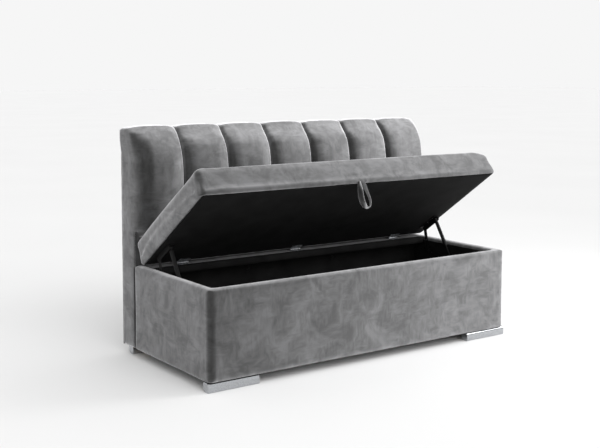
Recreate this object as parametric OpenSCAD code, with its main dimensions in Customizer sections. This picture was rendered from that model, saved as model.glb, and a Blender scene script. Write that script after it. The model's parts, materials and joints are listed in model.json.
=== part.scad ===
// Upholstered storage bench: a padded box on four chrome skid feet, a channelled
// backrest bolted behind it, and a seat lid on three butt hinges. Each side has a
// gas spring and a curved-slot stay that stops the lid when it is fully open.
// Millimetres. X runs along the bench, the front faces -Y, Z is up, and the origin
// is on the floor under the middle of the bench. The lid is drawn fully open.

/* [Overall] */
// Width of the bench over its covers
bench_w = 1410; // [1200:10:1700]
// Depth of the storage box, from its front face to the backrest
box_d = 555; // [500:1:640]
// Height of the padded rim above the underside of the box
box_h = 320; // [290:2:400]
// Depth of the backrest at its foot
back_d = 105; // [95:1:130]
// Height of the top of the backrest above the floor
back_h = 880; // [820:5:960]

/* [Covers and padding] */
// Thickness of the velvet cover with its lining
cover_t = 2; // [1.5:0.5:3]
// Thickness of the foam on the outside of the box walls
wall_foam_t = 15; // [10:1:20]
// Thickness of the foam on top of the box walls
rim_foam_t = 10; // [8:1:16]
// Radius of the upright corners of the box
corner_r = 22; // [20:1:30]
// Radius of the outer edge of the padded rim
rim_outer_r = 13; // [8:1:16]
// Radius of the inner edge of the padded rim
rim_inner_r = 9; // [5:1:12]
// Height of the cover turned in inside the rim and over the front of the rail
turn_in_h = 14; // [12:1:20]
// Thickness of the black lining cloth
lining_t = 1.5; // [1:0.5:2]

/* [Boards] */
// Thickness of the box wall boards
board_t = 22; // [18:1:25]
// Thickness of the bottom panel
bottom_t = 12; // [8:1:15]
// Depth of the hinge rail behind the opening
rail_d = 100; // [80:5:110]
// How far the hinge rail lies below the padded rim
rail_drop = 3; // [2:0.5:8]
// Thickness of the front and rear panels of the backrest
back_panel_t = 6; // [4:1:9]
// Height of the backrest cross rails
back_rail_h = 60; // [40:5:80]

/* [Backrest] */
// Number of upright channels
channels = 7; // [7:1:7]
// How far the channels stand out in front of their panel
channel_proud = 36; // [28:1:40]
// Clearance between the fully open lid and the lower ends of the channels
channel_gap = 1.5; // [0.5:0.5:8]
// Radius of the rounded lower end of the channels
channel_foot_r = 50; // [45:1:60]
// Depth of the valley between two channels
valley_d = 13; // [6:1:14]
// Roundness of a channel across its width: 2 is a plain arc and more is flatter
channel_round = 2.6; // [2.2:0.1:4]
// Radius of the leaning upper part of the channels
lean_r = 300; // [260:5:340]
// Angle that the upper part leans back through
lean_angle = 40; // [34:1:42]
// Radius of the top front edge of the backrest
crest_r = 15; // [10:1:20]
// Radius of the top rear edge of the backrest
nape_r = 25; // [15:1:30]
// How far the padding bulges behind the rear cover at the top
nape_proud = 7; // [3:1:10]
// Thickness of the padding over the top of the frame
crown_t = 32; // [26:1:40]

/* [Lid] */
// Angle of the lid when it is fully open
open_angle = 34.5; // [30:0.5:35]
// Thickness of the lid from its underside to the seat
lid_t = 103; // [85:1:104]
// Gap between each end of the lid and the side face of the box
lid_inset = 4; // [2:1:10]
// How far the closed lid overhangs the front of the box
lid_overhang = 50; // [40:1:60]
// Radius of the front and side top edges of the lid
seat_r = 24; // [18:1:32]
// Radius of the rear top edge of the lid
seat_rear_r = 42; // [42:1:48]
// Radius of the lower edges of the lid
lid_low_r = 7; // [4:1:10]
// Radius of the upright corners of the lid
lid_corner_r = 20; // [18:1:34]
// Thickness of the lid frame
frame_t = 22; // [18:1:25]
// Width of the rails of the lid frame
frame_rail_w = 60; // [45:5:80]
// Thickness of the board on the lid frame
seat_board_t = 6; // [4:1:9]
// Thickness of the foam round the edge of the lid frame
edge_foam_t = 8; // [5:1:12]
// Width of the cover turned under the lid
hem_w = 13; // [11:1:20]

/* [Pull strap] */
// Width of the ribbon
ribbon_w = 24; // [20:1:32]
// Thickness of the doubled ribbon
ribbon_t = 2.5; // [2:0.5:4]
// Height of the hanging loop
loop_h = 100; // [80:1:110]
// Widest distance across the loop
loop_w = 60; // [30:1:64]

/* [Hinges] */
// Distance of the hinge axis in front of the backrest panel
hinge_set = 51; // [51:1:60]
// Distance of the rear face of the closed lid behind the hinge axis
lid_tail = 5; // [3:1:6]
// Number of butt hinges
hinges = 3; // [3:1:3]
// Distance of the end hinges from the ends of the bench
hinge_end = 180; // [120:5:300]
// Length of a hinge
hinge_w = 50; // [44:1:80]
// Depth of a hinge leaf from the axis
leaf_d = 26; // [24:1:40]
// Thickness of a hinge leaf
leaf_t = 2; // [1.5:0.5:2.5]
// Outer radius of the hinge knuckles
knuckle_r = 4.5; // [4:0.5:5]
// Radius of the hinge pin
pin_r = 2; // [1.5:0.25:2.5]

/* [Lift gear] */
// Thickness of the steel plates of the lift gear
plate_t = 2.5; // [2:0.5:3]
// Width of the base plate on the side of the box
base_plate_w = 34; // [30:1:36]
// Width of the arm flange under the lid
arm_flange_w = 24; // [20:1:28]
// Distance of the upper gas spring stud in front of the hinge axis
gas_top_u = 164; // [150:1:180]
// Distance of the upper studs below the underside of the lid
stud_drop = 12; // [11.5:0.5:14]
// Distance of the lower gas spring stud in front of the hinge axis
gas_foot_u = 269; // [255:1:280]
// Distance of the lower gas spring stud below the hinge axis
gas_foot_drop = 118; // [105:1:130]
// Outer radius of the gas cylinder
cylinder_r = 7.5; // [7:0.5:9]
// Length of the gas cylinder tube
cylinder_len = 114; // [110:1:118]
// Radius of the piston rod
rod_r = 3; // [2.5:0.5:4]
// Distance of the upper stay pivot in front of the hinge axis
stay_top_u = 75; // [70:1:90]
// Distance of the stay stud in front of the hinge axis
stay_foot_u = 85; // [80:1:95]
// Distance of the stay stud below the hinge axis
stay_foot_drop = 56; // [50:1:65]
// Width of the stay
stay_w = 17; // [16:1:20]
// Radius of the studs
stud_r = 4; // [3:0.5:4.5]
// Radius of the pin in the lower eye of the piston rod
rod_pin_r = 3; // [2:0.5:3.5]
// Length of the slotted hole that takes this pin
rod_slot_len = 22; // [20:1:24]
// Width of the slotted hole
rod_slot_w = 11; // [10:0.5:12]

/* [Feet] */
// Height of the feet, which is the gap under the bench
foot_h = 34; // [25:1:45]
// Length of a foot along the bench
foot_len = 206; // [150:2:260]
// Distance of the front feet behind the front face of the box
foot_front_set = 5; // [3:1:12]
// Distance of the rear feet in front of the rear of the backrest
foot_rear_set = 22; // [15:1:40]
// Distance of the rear feet in from the ends of the bench
foot_side_set = 16; // [5:1:40]
// Depth of a foot, front to rear
foot_d = 35; // [32:1:50]
// Radius of the upper front edge of a foot
foot_brow_r = 13; // [8:1:16]
// Radius of the lower rear edge of a foot
foot_heel_r = 17; // [6:1:18]

/* [Fit] */
// Radial clearance of the running fits
run_gap = 0.05; // [0.02:0.01:0.09]
// Clearance between parts that move past each other
move_gap = 0.4; // [0.3:0.1:0.8]

/* [Hidden] */
$fn = 64;
through = 1;

// colours
velvet = [0.45, 0.45, 0.45];
black_cloth = [0.07, 0.07, 0.07];
foam = [0.93, 0.89, 0.72];
board = [0.78, 0.66, 0.48];
chrome = [0.86, 0.87, 0.89];
steel = [0.2, 0.2, 0.21];
zinc = [0.62, 0.63, 0.65];

// main levels and faces: v is the distance behind the front face of the box
depth = box_d + back_d + nape_proud;
front_y = -depth / 2;
half_w = bench_w / 2;
rim_z = foot_h + box_h;
board_out = cover_t + wall_foam_t;
board_in = board_out + board_t;
rim_w = board_in + cover_t;
board_top = rim_z - cover_t - rim_foam_t;
inner_x = half_w - rim_w;
rear_board_v = box_d - board_t;
rail_top = rim_z - rail_drop;
rail_board_top = rail_top - lining_t;
rail_front_v = box_d - rail_d;
floor_z = foot_h + bottom_t;
lining_top = rim_z - turn_in_h;
back_v = box_d + back_d;

// hinge axis and lid, in the lid's own frame: y behind the axis, z above it
hinge_v = box_d - hinge_set;
hinge_z = rail_top + knuckle_r;
lid_w = bench_w - 2 * lid_inset;
lid_l = hinge_v + lid_tail + lid_overhang;
lid_front = lid_tail - lid_l;
lid_under = knuckle_r;
frame_in = cover_t + edge_foam_t;
frame_z = lid_under + cover_t;

// studs on the lid, in the lid's own frame
stud_z = lid_under - stud_drop;
gas_top = [-gas_top_u, stud_z];
stay_top = [-stay_top_u, stud_z];
// studs on the box, measured from the hinge axis
gas_foot = [-gas_foot_u, -gas_foot_drop];
stay_foot = [-stay_foot_u, -stay_foot_drop];

// lift gear across the bench, from the lining inwards
plate_x = half_w - board_in - lining_t;
arm_x = plate_x - plate_t - move_gap;
stay_x = arm_x - plate_t - move_gap;
gas_x = stay_x - cylinder_r;
eye_t = 7;
eye_r = 7;
eye_neck = 12;
neck_r = 3;
guide_len = 9;
cap_len = 3;
tube_wall = 1.2;
piston_len = 6;
rod_seat = 2;
rivet_t = 1.5;
rivet_r = 6.5;
arm_end = 12;
arm_r = 8;

// screws and bolts
leaf_screw_at = leaf_d * 0.62;
arm_screw_at = arm_flange_w * 0.72;
seat_gap = 0.3;
screw_r = 1.9;
screw_head_r = 3.6;
screw_head_h = 1.8;
screw_len = 16;
foot_rear_v = back_v - foot_rear_set - foot_d;
foot_pad_t = 8;
foot_toe_r = 3;
foot_nape_r = 5;
foot_screw_in = 6;
bolt_r = 4;
bolt_head_r = 8;
bolt_head_h = 4;
bolt_nut_h = 6;
bolt_nut_r = 6.4;
bolt_drop = 6;
bolt_len = lining_t + board_t + back_panel_t + board_t + bolt_nut_h;

function turned(p, a) = [p.x * cos(a) + p.y * sin(a), p.y * cos(a) - p.x * sin(a)];
function arc(c, r, a0, a1, n) =
    [for (i = [0:n]) let (a = a0 + (a1 - a0) * i / n) [c.x + r * cos(a), c.y + r * sin(a)]];

// the channels end where they clear the rear edge of the open lid
crown_v = box_d - channel_proud;
lid_rear_c = turned([lid_tail - seat_rear_r, lid_under + lid_t - seat_rear_r], open_angle);
foot_arc_v = crown_v + channel_foot_r;
foot_arc_reach = seat_rear_r + channel_foot_r + channel_gap;
foot_arc_rise = sqrt(pow(foot_arc_reach, 2) - pow(foot_arc_v - hinge_v - lid_rear_c.x, 2));
foot_arc_z = hinge_z + lid_rear_c.y + foot_arc_rise;
channel_z = foot_arc_z - channel_foot_r;

gas_top_open = turned(gas_top, open_angle);
gas_run = gas_top_open - gas_foot;
gas_span = norm(gas_run);
gas_lean = -atan2(gas_run.x, gas_run.y);
stay_top_open = turned(stay_top, open_angle);
stay_r = norm(stay_top);

// ---------- placing and outlines ----------

// from the front face of the box
module bench() {
    translate([0, front_y, 0]) children();
}

// a part that stays with the box, drawn round the hinge axis
module at_hinge() {
    bench() translate([0, hinge_v, hinge_z]) children();
}

// a part of the lid, drawn closed round the hinge axis and shown open
module on_lid() {
    at_hinge() rotate([-open_angle, 0, 0]) children();
}

// the side s = -1 is left, s = 1 is right
module side(s) {
    if (s < 0) mirror([1, 0, 0]) children();
    else children();
}

// an outline seen from the right end, drawn across the bench from x0 to x1
module across(x0, x1) {
    translate([x0, 0, 0]) rotate([90, 0, 90]) linear_extrude(x1 - x0) children();
}

// a block given by its lowest and highest corners
module block(lo, hi) {
    translate(lo) cube(hi - lo);
}

// a round bar along X
module bar_x(x0, x1, r) {
    translate([x0, 0, 0]) rotate([0, 90, 0]) cylinder(h = x1 - x0, r = r);
}

// a rectangle with its own radius at each corner: lower front, lower rear,
// upper rear, upper front
module rounded(size, radii) {
    corners = [[0, 0], [size.x, 0], [size.x, size.y], [0, size.y]];
    difference() {
        square(size);
        for (i = [0:3])
            translate(corners[i])
                mirror([i == 1 || i == 2 ? 1 : 0, 0])
                    mirror([0, i > 1 ? 1 : 0])
                        difference() {
                            translate([-through, -through]) square(radii[i] + through);
                            translate([radii[i], radii[i]]) circle(radii[i]);
                        }
    }
}

// a wood screw driven downwards, its head resting on z = 0
module screw() {
    cylinder(h = screw_head_h, r = screw_head_r);
    translate([0, 0, -screw_len]) cylinder(h = screw_len, r = screw_r);
}

module screw_hole() {
    translate([0, 0, -screw_len]) cylinder(h = screw_len + through, r = screw_r);
}

// ---------- fastener places ----------

module at_hinge_base_screws() {
    for (i = [1:hinges], dx = [-1, 0, 1])
        translate([hinge_x(i) + dx * hinge_w / 3, hinge_v - leaf_screw_at, rail_top + leaf_t])
            children();
}

module at_hinge_lid_screws() {
    for (i = [1:hinges], dx = [-1, 0, 1])
        translate([hinge_x(i) + dx * hinge_w / 3, -leaf_screw_at, lid_under - leaf_t])
            mirror([0, 0, 1]) children();
}

// the base plate runs from the rod pin to the stay stud
base_plate_run = stay_foot - gas_foot;
base_plate_angle = atan2(base_plate_run.y, base_plate_run.x);
base_screw_spots = [0.16, 0.34, 0.64, 0.86];

module at_lift_base_screws() {
    for (t = base_screw_spots)
        translate([
            plate_x - plate_t,
            hinge_v + gas_foot.x + base_plate_run.x * t,
            hinge_z + gas_foot.y + base_plate_run.y * t
        ]) rotate([0, -90, 0]) children();
}

module at_lift_lid_screws() {
    for (t = [0.1, 0.5, 0.9])
        translate([
            arm_x - arm_screw_at,
            -gas_top_u + (gas_top_u - stay_top_u) * t,
            lid_under - plate_t
        ]) mirror([0, 0, 1]) children();
}

// two screws in each foot, driven up from a pocket
module at_foot_screws() {
    for (s = [-1, 1], t = [0.24, 0.76]) {
        translate([s * (half_w - foot_len * t), board_out + foot_screw_in, foot_h - foot_pad_t])
            mirror([0, 0, 1]) children();
        translate([s * (half_w - foot_side_set - foot_len * t), foot_rear_v + foot_d / 2, foot_h - foot_pad_t])
            mirror([0, 0, 1]) children();
    }
}

bolt_spots = [for (x = [-0.86, -0.3, 0.3, 0.86], z = [0, 1]) [x, z]];

module at_bolts() {
    for (p = bolt_spots)
        translate([
            p.x * half_w,
            rear_board_v - lining_t,
            p.y == 0 ? foot_h + board_t + back_rail_h / 2 : rim_z - board_t - back_rail_h / 2 - bolt_drop
        ]) rotate([-90, 0, 0]) children();
}

module bolt_holes() {
    at_bolts() translate([0, 0, -through]) cylinder(h = bolt_len + 2 * through, r = bolt_r);
}

// ---------- box ----------

// outline of a padded wall seen from its end, x inwards from its outer face
module wall_outline(inset) {
    ri = max(rim_inner_r - inset, 1);
    translate([inset, foot_h])
        rounded([rim_w - inset * 2, rim_z - foot_h - inset], [0.01, 0.01, ri, rim_outer_r - inset]);
}

// the three padded walls as one solid, drawn in by an inset
module padded_walls(inset) {
    r = corner_r - inset;
    mitre = rim_w + corner_r;
    intersection() {
        union() {
            intersection() {
                across(-half_w, half_w) wall_outline(inset);
                linear_extrude(rim_z + through)
                    polygon([[-half_w, 0], [half_w, 0], [half_w - mitre, mitre], [mitre - half_w, mitre]]);
            }
            for (s = [-1, 1]) side(s) intersection() {
                translate([half_w, box_d, 0]) rotate([90, 0, 0]) mirror([1, 0, 0])
                    linear_extrude(box_d) wall_outline(inset);
                linear_extrude(rim_z + through) polygon([
                    [half_w, 0], [half_w + through, 0], [half_w + through, box_d + through],
                    [half_w - mitre, box_d + through], [half_w - mitre, mitre]
                ]);
            }
        }
        translate([inset - half_w, inset, 0]) linear_extrude(rim_z + through)
            rounded([bench_w - 2 * inset, box_d - inset], [r, r, 0.01, 0.01]);
    }
}

module front_panel() {
    color(board) bench() difference() {
        block([board_in - half_w, board_out, foot_h], [half_w - board_in, board_in, board_top]);
        at_foot_screws() screw_hole();
    }
}

module rear_panel() {
    color(board) bench() difference() {
        block([board_in - half_w, rear_board_v, foot_h],
            [half_w - board_in, box_d, rail_board_top - board_t]);
        bolt_holes();
    }
}

module side_panel() {
    difference() {
        block([half_w - board_in, board_out, foot_h], [half_w - board_out, box_d, board_top]);
        at_lift_base_screws() screw_hole();
        at_foot_screws() screw_hole();
    }
}

module left_panel() {
    color(board) bench() side(-1) side_panel();
}

module right_panel() {
    color(board) bench() side(1) side_panel();
}

module bottom_panel() {
    color(board) bench()
        block([board_in - half_w, board_in, foot_h], [half_w - board_in, rear_board_v, floor_z]);
}

module hinge_rail() {
    color(board) bench() difference() {
        block([board_in - half_w, rail_front_v, rail_board_top - board_t],
            [half_w - board_in, box_d, rail_board_top]);
        rim_corner_gap();
        at_hinge_base_screws() screw_hole();
    }
}

// the turned-in cover and the lining of the side walls pass the ends of the rail
module rim_corner_gap() {
    for (s = [-1, 1]) side(s)
        block([inner_x, rail_front_v - through, 0], [half_w, box_d + through, rim_z]);
}

module rail_cover() {
    color(velvet) bench() difference() {
        block([-inner_x, rail_front_v - lining_t, lining_top], [inner_x, box_d, rail_top]);
        block([-half_w, rail_front_v, 0], [half_w, box_d + through, rail_board_top]);
        at_hinge_base_screws() screw_hole();
    }
}

// a tray of black cloth on the inside of the boards, with a strip up the rail
module box_lining() {
    lo = [board_in - half_w, board_in, floor_z];
    hi = [half_w - board_in, rear_board_v, lining_top];
    t = lining_t;
    rail_under = rail_board_top - board_t;
    color(black_cloth) bench() {
        difference() {
            block(lo, hi);
            block([lo.x + t, lo.y + t, lo.z + t], [hi.x - t, hi.y - t, hi.z + through]);
            block([lo.x - through, rail_front_v - t, rail_under], [hi.x + through, box_d, rim_z]);
            bolt_holes();
            for (s = [-1, 1]) side(s) at_lift_base_screws() screw_hole();
        }
        block([lo.x, rail_front_v - t, rail_under], [hi.x, rail_front_v, hi.z]);
    }
}

module box_foam() {
    color(foam) bench() difference() {
        padded_walls(cover_t);
        block([board_out - half_w, board_out, 0], [half_w - board_out, box_d + through, board_top]);
        block([board_in - half_w, board_in, 0], [half_w - board_in, box_d + through, rim_z]);
    }
}

module box_cover() {
    color(velvet) bench() difference() {
        padded_walls(0);
        padded_walls(cover_t);
        block([board_out - half_w, board_out, 0], [half_w - board_out, box_d + through, board_top]);
        block([board_in - half_w, board_in, 0], [half_w - board_in, box_d + through, lining_top]);
    }
}

// black cloth under the box, cut out round the front feet
module base_cloth() {
    margin = 8;
    under = foot_h - 1;
    color(black_cloth) bench() difference() {
        block([margin - half_w, margin, under], [half_w - margin, box_d - margin, foot_h]);
        for (s = [-1, 1]) side(s)
            block([half_w - foot_len - seat_gap, 0, under - through],
                [half_w, foot_front_set + foot_d + seat_gap, foot_h + through]);
    }
}

// ---------- backrest ----------

channel_w = bench_w / channels;
// how far below the top the padding ends at the rear
nape_drop = 110;
// where the rounded foot of a channel meets the panel, in degrees
tuck_angle = 255;
lean_z = back_h - crest_r * (1 - sin(lean_angle)) - lean_r * sin(lean_angle);
lean_c = [crown_v + lean_r, lean_z];
crest_c = lean_c - (lean_r - crest_r) * [cos(lean_angle), -sin(lean_angle)];
nape_c = [back_v + nape_proud - nape_r, back_h - nape_r];
nape_z = back_h - nape_drop;
front_post_v = box_d + back_panel_t;
rear_post_v = back_v - cover_t - back_panel_t;
post_top = back_h - crown_t - back_panel_t;
// where the posts start to lean and how far they lean back
post_bend = 55;
post_lean = 46;
post_bend_z = lean_z + post_bend;
post_top_v = front_post_v + post_lean;
// the cross rail behind the foot of the channels
seat_rail_z = channel_z + back_rail_h;
// how far the cover of the ends lies behind the crown of the channels
end_draw = 10;

// side outline of a channel, drawn in by d at its front and top
function channel_outline(d) = concat(
    [[box_d, channel_z + d]],
    arc([foot_arc_v, foot_arc_z], channel_foot_r - d, tuck_angle, 180, 6),
    arc(lean_c, lean_r - d, 180, 180 - lean_angle, 7),
    arc(crest_c, crest_r - d, 180 - lean_angle, 90, 3),
    arc([nape_c.x + d, nape_c.y], nape_r - d, 90, 0, 5),
    [[back_v, nape_z], [box_d, nape_z]]
);

// side outline of the back frame, grown by the thickness of its panels
module frame_outline(grow) {
    polygon([
        [front_post_v - grow, foot_h],
        [front_post_v - grow, post_bend_z],
        [post_top_v - grow, post_top + grow],
        [rear_post_v + grow, post_top + grow],
        [rear_post_v + grow, foot_h]
    ]);
}

module back_side() {
    x = half_w - cover_t;
    across(x - board_t, x) frame_outline(0);
}

module back_side_left() {
    color(board) bench() side(-1) back_side();
}

module back_side_right() {
    color(board) bench() side(1) back_side();
}

// the cross rails between the sides, and the foot and top boards
module back_rails() {
    x = half_w - cover_t - board_t;
    color(board) bench() difference() {
        union() {
            for (z = [foot_h + board_t, rim_z - board_t - back_rail_h, seat_rail_z])
                block([-x, front_post_v, z], [x, front_post_v + board_t, z + back_rail_h]);
            block([-x, front_post_v, foot_h], [x, rear_post_v, foot_h + board_t]);
            block([-x, post_top_v, post_top - board_t], [x, rear_post_v, post_top]);
        }
        bolt_holes();
        at_foot_screws() screw_hole();
    }
}

// plywood down the front of the frame and over its top
module back_panel() {
    x = half_w - cover_t;
    color(board) bench() difference() {
        across(-x, x) difference() {
            frame_outline(back_panel_t);
            frame_outline(0);
            translate([rear_post_v, 0]) square([back_panel_t + through, back_h]);
        }
        bolt_holes();
    }
}

module back_rear_panel() {
    x = half_w - cover_t;
    color(board) bench()
        block([-x, rear_post_v, foot_h], [x, back_v - cover_t, post_top + back_panel_t]);
}

// one padded channel, full in the middle and drawn in at its two edges
module back_channel(i) {
    x0 = channel_w * (i - 1) - half_w + (i == 1 ? cover_t : 0);
    x1 = channel_w * i - half_w - (i == channels ? cover_t : 0);
    slice = 0.1;
    color(velvet) bench() difference() {
        hull() for (t = [-1, -0.93, -0.78, -0.5, 0, 0.5, 0.78, 0.93, 1]) {
            x = x0 + (x1 - x0 - slice) * (1 + t) / 2;
            drawn_in = valley_d * (1 - sqrt(1 - pow(abs(t), channel_round)));
            across(x, x + slice) polygon(channel_outline(drawn_in));
        }
        across(-half_w, half_w) frame_outline(back_panel_t);
        block([-half_w, back_v - cover_t - through, 0], [half_w, back_v + nape_r, nape_z]);
    }
}

// velvet on the ends, on the rear and on the front below the channels
module back_cover() {
    x = half_w - cover_t;
    color(velvet) bench() {
        for (s = [-1, 1]) side(s) across(x, half_w) {
            polygon(channel_outline(end_draw));
            translate([box_d, foot_h]) square([back_d, nape_z - foot_h]);
        }
        block([-x, back_v - cover_t, foot_h], [x, back_v, nape_z]);
        block([-x, box_d - cover_t, rim_z], [x, box_d, channel_z]);
        block([-inner_x, box_d - cover_t, rail_top], [inner_x, box_d, rim_z]);
    }
}

module back_bolts() {
    color(steel) bench() at_bolts() {
        translate([0, 0, -bolt_head_h]) cylinder(h = bolt_head_h, r = bolt_head_r);
        cylinder(h = bolt_len, r = bolt_r);
        translate([0, 0, bolt_len - bolt_nut_h]) cylinder(h = bolt_nut_h, r = bolt_nut_r);
    }
}

// ---------- feet ----------

// a chromed skid with a convex face, and a pocket for each screw
module foot(x1, v0) {
    difference() {
        across(x1 - foot_len, x1) translate([v0, 0])
            rounded([foot_d, foot_h], [foot_toe_r, foot_heel_r, foot_nape_r, foot_brow_r]);
        at_foot_screws() {
            screw_hole();
            cylinder(h = foot_h, r = screw_head_r + 1);
        }
    }
}

module foot_front_left() {
    color(chrome) bench() side(-1) foot(half_w, foot_front_set);
}

module foot_front_right() {
    color(chrome) bench() side(1) foot(half_w, foot_front_set);
}

module foot_rear_left() {
    color(chrome) bench() side(-1) foot(half_w - foot_side_set, foot_rear_v);
}

module foot_rear_right() {
    color(chrome) bench() side(1) foot(half_w - foot_side_set, foot_rear_v);
}

module foot_screws() {
    color(zinc) bench() at_foot_screws() screw();
}

// ---------- hinges ----------

knuckles = 5;
knuckle_pitch = hinge_w / knuckles;
hinge_pitch = (bench_w - 2 * hinge_end) / (hinges - 1);
function hinge_x(i) = hinge_pitch * (i - (hinges + 1) / 2);

// the room of one knuckle, grown by g at both ends
module knuckle(k, r, g) {
    x = knuckle_pitch * k - hinge_w / 2;
    bar_x(x - g, x + knuckle_pitch + g, r);
}

// a leaf below the axis with its own knuckles, bored for the pin
module hinge_leaf(own, others, bore_r) {
    difference() {
        union() {
            block([-hinge_w / 2, -leaf_d, -knuckle_r], [hinge_w / 2, 0, leaf_t - knuckle_r]);
            for (k = own) knuckle(k, knuckle_r, 0);
        }
        for (k = others) knuckle(k, knuckle_r + move_gap, move_gap / 2);
        bar_x(-hinge_w, hinge_w, bore_r);
        for (dx = [-1, 0, 1])
            translate([dx * hinge_w / 3, -leaf_screw_at, leaf_t - knuckle_r]) screw_hole();
    }
}

module hinge_base_leaf(i) {
    color(zinc) at_hinge() translate([hinge_x(i), 0, 0])
        hinge_leaf([0, 2, 4], [1, 3], pin_r);
}

module hinge_lid_leaf(i) {
    color(zinc) on_lid() translate([hinge_x(i), 0, 0])
        mirror([0, 0, 1]) hinge_leaf([1, 3], [0, 2, 4], pin_r + run_gap);
}

module hinge_pins() {
    color(zinc) at_hinge() for (i = [1:hinges])
        translate([hinge_x(i), 0, 0]) bar_x(-hinge_w / 2, hinge_w / 2, pin_r);
}

module hinge_base_screws() {
    color(zinc) bench() at_hinge_base_screws() screw();
}

module hinge_lid_screws() {
    color(zinc) on_lid() at_hinge_lid_screws() screw();
}

// ---------- lift gear ----------

// steel plate on the side of the box, with the stud that the stay slides on
module lift_base_plate(s) {
    w = base_plate_w;
    color(steel) at_hinge() side(s) {
        difference() {
            across(plate_x - plate_t, plate_x) difference() {
                translate(gas_foot) rotate(base_plate_angle) translate([-w / 2, -w / 2])
                    rounded([norm(base_plate_run) + w, w], [w / 3, w / 3, w / 3, w / 3]);
                // slotted hole across the line of the gas spring
                translate(gas_foot) rotate(gas_lean) translate([-rod_slot_len / 2, -rod_slot_w / 2])
                    rounded([rod_slot_len, rod_slot_w], [1, 1, 1, 1] * rod_slot_w / 2);
            }
            translate([0, -hinge_v, -hinge_z]) at_lift_base_screws() screw_hole();
        }
        translate([0, stay_foot.x, stay_foot.y]) {
            bar_x(stay_x - plate_t - move_gap, plate_x - plate_t, stud_r);
            bar_x(stay_x - plate_t - move_gap - rivet_t, stay_x - plate_t - move_gap, rivet_r);
            bar_x(arm_x - plate_t, plate_x - plate_t, rivet_r);
        }
    }
}

// angle steel under the lid, carrying the upper studs of the gas spring and the stay
module lift_lid_arm(s) {
    rear = arm_end - stay_top_u;
    front = -gas_top_u - arm_end;
    low = stud_z - arm_r;
    color(steel) on_lid() side(s) {
        difference() {
            union() {
                across(arm_x - plate_t, arm_x) translate([front, low])
                    rounded([rear - front, lid_under - low], [arm_r, arm_r, 0.5, 0.5]);
                block([arm_x - arm_flange_w, front, lid_under - plate_t], [arm_x, rear, lid_under]);
            }
            at_lift_lid_screws() screw_hole();
        }
        translate([0, stay_top.x, stay_top.y]) {
            bar_x(stay_x - plate_t - move_gap, arm_x - plate_t, stud_r);
            bar_x(stay_x - plate_t - move_gap - rivet_t, stay_x - plate_t - move_gap, rivet_r);
        }
        translate([0, gas_top.x, gas_top.y]) {
            bar_x(gas_x - eye_t / 2 - move_gap, arm_x - plate_t, stud_r);
            bar_x(gas_x - eye_t / 2 - move_gap - rivet_t, gas_x - eye_t / 2 - move_gap, rivet_r);
            bar_x(gas_x + eye_t / 2 + move_gap, arm_x - plate_t, rivet_r);
        }
    }
}

// outline of the stay round its upper pivot. It keeps its slope while the lid
// turns, so its slot is an arc with the radius of that pivot round the hinge
module stay_outline() {
    closed_end = stay_foot - stay_top;
    open_end = stay_foot - stay_top_open;
    bar_angle = atan2(closed_end.y, closed_end.x);
    difference() {
        union() {
            circle(stay_w / 2);
            rotate(bar_angle) translate([0, -stay_w / 2]) square([norm(closed_end), stay_w]);
            slot_band(stay_w / 2);
            for (p = [closed_end, open_end]) translate(p) circle(stay_w / 2);
        }
        slot_band(stud_r + move_gap);
        for (p = [closed_end, open_end]) translate(p) circle(stud_r + move_gap);
        circle(stud_r + run_gap);
    }
}

// part of a ring round the arc of the slot, from the closed end to the open end
module slot_band(half) {
    far = stay_r * 2;
    a0 = atan2(-stay_top.y, -stay_top.x);
    translate(stay_foot) intersection() {
        difference() {
            circle(stay_r + half, $fn = 128);
            circle(stay_r - half, $fn = 128);
        }
        polygon([[0, 0], far * [cos(a0), sin(a0)], far * [cos(a0 - open_angle), sin(a0 - open_angle)]]);
    }
}

module stay_link(s) {
    color(steel) at_hinge() side(s) translate([0, stay_top_open.x, stay_top_open.y])
        across(stay_x - plate_t, stay_x) stay_outline();
}

// gas spring body, hanging from its eye at the origin
module gas_cylinder(s) {
    tube_top = -eye_neck;
    tube_end = tube_top - cylinder_len;
    color(steel) at_hinge() side(s)
        translate([gas_x, gas_top_open.x, gas_top_open.y]) rotate([gas_lean, 0, 0]) difference() {
            union() {
                bar_x(-eye_t / 2, eye_t / 2, eye_r);
                translate([0, 0, tube_top]) cylinder(h = eye_neck, r = neck_r);
                translate([0, 0, tube_end]) cylinder(h = cylinder_len, r = cylinder_r);
            }
            bar_x(-eye_t, eye_t, stud_r + run_gap);
            translate([0, 0, tube_end - through])
                cylinder(h = guide_len + 2 * through, r = rod_r + run_gap);
            translate([0, 0, tube_end + guide_len])
                cylinder(h = cylinder_len - guide_len - cap_len, r = cylinder_r - tube_wall);
        }
}

// piston rod standing on its eye at the origin, with the pin that sits in the slot
module gas_rod(s) {
    piston_z = gas_span - eye_neck - cylinder_len + guide_len + rod_seat;
    color(steel) at_hinge() side(s)
        translate([gas_x, gas_foot.x, gas_foot.y]) rotate([gas_lean, 0, 0]) {
            bar_x(-eye_t / 2, eye_t / 2, eye_r);
            cylinder(h = piston_z + piston_len, r = rod_r);
            translate([0, 0, piston_z]) cylinder(h = piston_len, r = cylinder_r - tube_wall - run_gap);
            bar_x(eye_t / 2 - 1, plate_x - move_gap - gas_x, rod_pin_r);
            bar_x(-eye_t / 2 - rivet_t, 1 - eye_t / 2, rivet_r - 1);
        }
}

module lift_base_screws() {
    color(zinc) bench() for (s = [-1, 1]) side(s) at_lift_base_screws() screw();
}

module lift_lid_screws() {
    color(zinc) on_lid() for (s = [-1, 1]) side(s) at_lift_lid_screws() screw();
}

// ---------- lid ----------

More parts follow.
